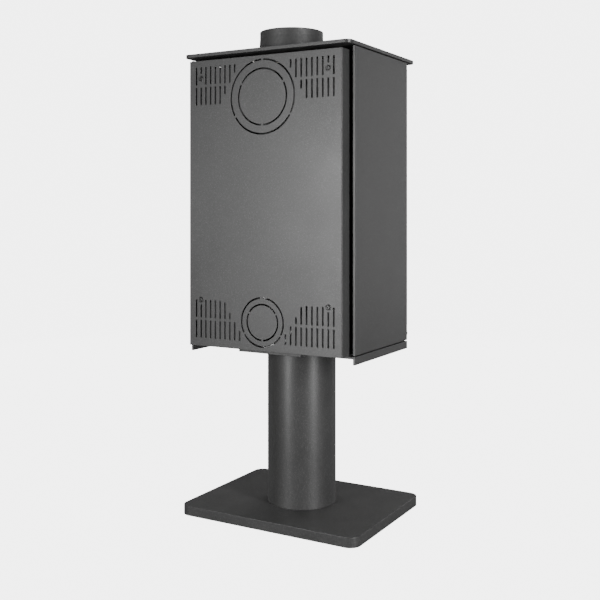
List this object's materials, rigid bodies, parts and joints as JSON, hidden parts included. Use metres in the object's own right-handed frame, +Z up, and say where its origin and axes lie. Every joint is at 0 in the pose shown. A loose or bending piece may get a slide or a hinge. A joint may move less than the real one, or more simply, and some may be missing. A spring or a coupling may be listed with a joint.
{
  "type": "wood burning stove",
  "caption": "Steel wood burning stove with a glazed front door, slotted back cover and top flue collar, standing on a round column over a flat base plate.",
  "frame": {"origin": "on the floor under the axis of the round column, which is also the centre of the bounding box's underside", "axes": "+Z up, the door faces -Y, the back cover and its knock-outs face +Y, +X to the right seen from the front"},
  "size_m": [0.452, 0.3568, 1.1137],
  "materials": {
    "casing_paint": "matt heat-resistant anthracite paint",
    "cast_iron_paint": "matt heat-resistant anthracite paint over a fine cast skin",
    "raw_cast_iron": "raw casting",
    "firebox_steel": "black heat-resistant paint",
    "galvanised_steel": "galvanised sheet",
    "fastener_steel": "zinc plated",
    "black_screw": "blackened",
    "satin_steel": "satin",
    "fire_brick": "rough pressed vermiculite",
    "glass_fibre_rope": "braided",
    "fibre_gasket": "flat fibre board",
    "ceramic_glass": "clear, slightly warm",
    "glide_pad": "moulded"
  },
  "bodies": {
    "stove": {"foot_pads": "glide_pad", "base_shell": "casing_paint", "base_ballast": "firebox_steel", "base_bolts": "fastener_steel", "column": "casing_paint", "column_foot_plate": "casing_paint", "column_head_plate": "casing_paint", "head_plate_bolts": "fastener_steel", "body_floor_tray": "casing_paint", "side_panel_left": "casing_paint", "side_panel_right": "casing_paint", "side_panel_spacers": "casing_paint", "top_plate": "casing_paint", "top_plate_spacers": "casing_paint", "back_cover": "casing_paint", "back_cover_screws": "black_screw", "cover_standoffs": "casing_paint", "firebox_shell": "firebox_steel", "firebox_feet": "firebox_steel", "flue_collar": "cast_iron_paint", "flue_gaskets": "fibre_gasket", "collar_bolts": "fastener_steel", "rear_outlet_plate": "cast_iron_paint", "rear_outlet_bolts": "fastener_steel", "air_inlet_spigot": "galvanised_steel", "hearth_plate": "firebox_steel", "hearth_bricks": "fire_brick", "fire_bricks_side": "fire_brick", "fire_brick_back": "fire_brick", "grate": "raw_cast_iron", "log_retainer": "raw_cast_iron", "baffle_lower": "fire_brick", "baffle_upper": "firebox_steel", "baffle_rails": "firebox_steel", "ash_pan": "galvanised_steel", "ash_pan_rails": "firebox_steel", "front_frame": "casing_paint", "airwash_deflector": "firebox_steel", "hinge_brackets": "casing_paint", "hinge_pins": "satin_steel", "hinge_washer": "fastener_steel", "latch_keeper": "satin_steel", "lower_front_panel": "casing_paint", "air_shutter_rails": "firebox_steel"},
    "door": {"door_frame": "cast_iron_paint", "door_glass": "ceramic_glass", "glass_gasket": "fibre_gasket", "door_seal_channel": "casing_paint", "door_seal": "glass_fibre_rope", "glass_clips": "fastener_steel", "glass_clip_screws": "fastener_steel", "handle_rosette": "casing_paint"},
    "handle": {"handle_grip": "satin_steel", "handle_sleeve": "satin_steel", "handle_shaft": "satin_steel", "latch_cam": "satin_steel", "handle_nut": "fastener_steel"},
    "air_control": {"air_shutter": "firebox_steel", "air_control_rod": "satin_steel", "air_control_knob": "satin_steel"}
  },
  "joints": [
    {"name": "door_swing", "type": "hinge", "parent": "stove", "child": "door", "pos_m": [-0.199, -0.139, 0.735], "axis": [0, 0, -1], "range_deg": [0, 110]},
    {"name": "handle_turn", "type": "hinge", "parent": "door", "child": "handle", "pos_m": [0.194, -0.139, 0.735], "axis": [0, 1, 0], "range_deg": [0, 75]},
    {"name": "air_slide", "type": "slide", "parent": "stove", "child": "air_control", "axis": [1, 0, 0], "range_m": [0, 0.04]}
  ]
}
